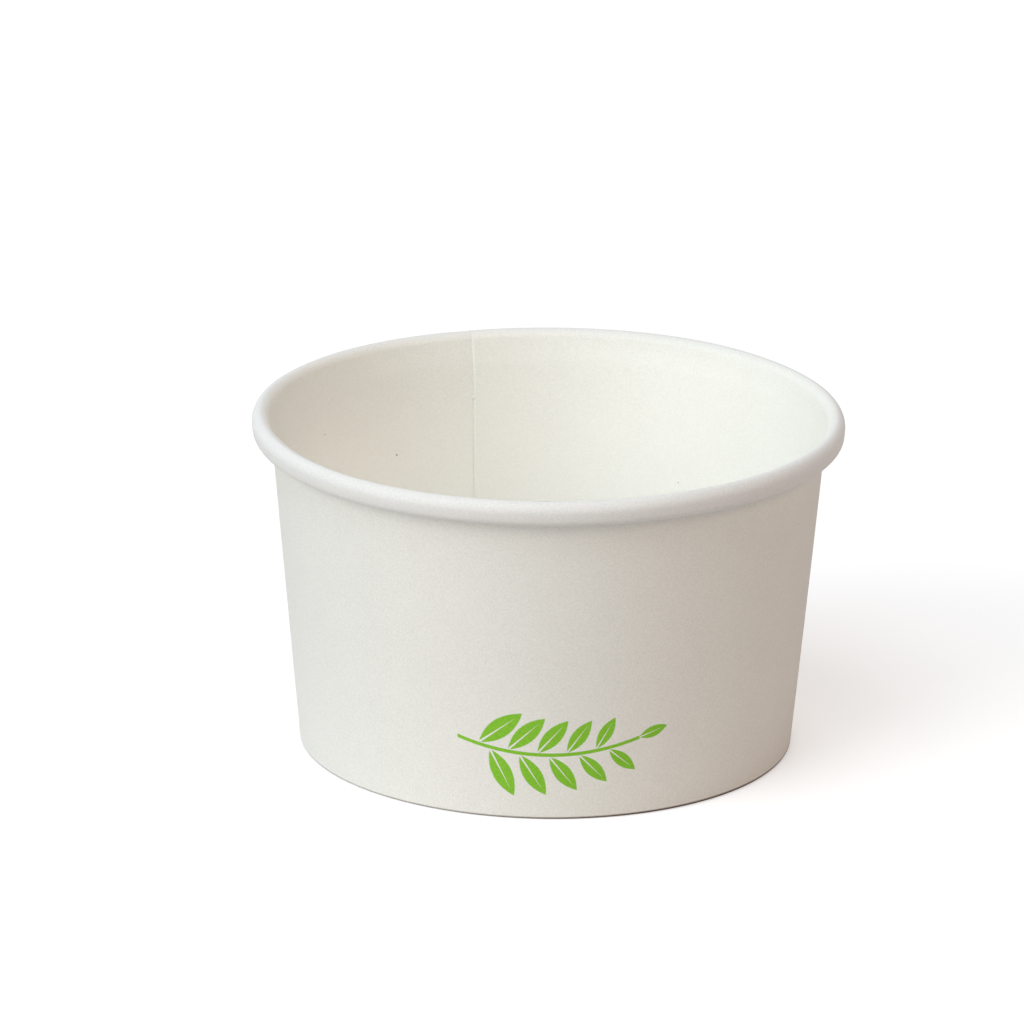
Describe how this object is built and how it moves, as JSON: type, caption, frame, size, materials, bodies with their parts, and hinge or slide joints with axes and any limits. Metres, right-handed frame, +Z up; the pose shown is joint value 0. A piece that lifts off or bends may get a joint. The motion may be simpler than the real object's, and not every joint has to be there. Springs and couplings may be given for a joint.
{
  "type": "paper dessert tub",
  "caption": "Round tapered paperboard tub with a rolled rim, a lap-seamed side and a recessed base sealed inside a hemmed foot, for ice cream and other desserts.",
  "frame": {"origin": "on the table plane, under the centre of the tub", "axes": "+Z up along the tub's axis; -Y towards the printed front; the inner cut edge of the side seam is 107 degrees anticlockwise from +X"},
  "size_m": [0.096, 0.096, 0.0552],
  "materials": {
    "side_board": "matte white board, coated inside",
    "base_board": "matte white board, coated on its upper face"
  },
  "bodies": {
    "root": {"sidewall": "side_board", "base_disc": "base_board"}
  },
  "joints": []
}
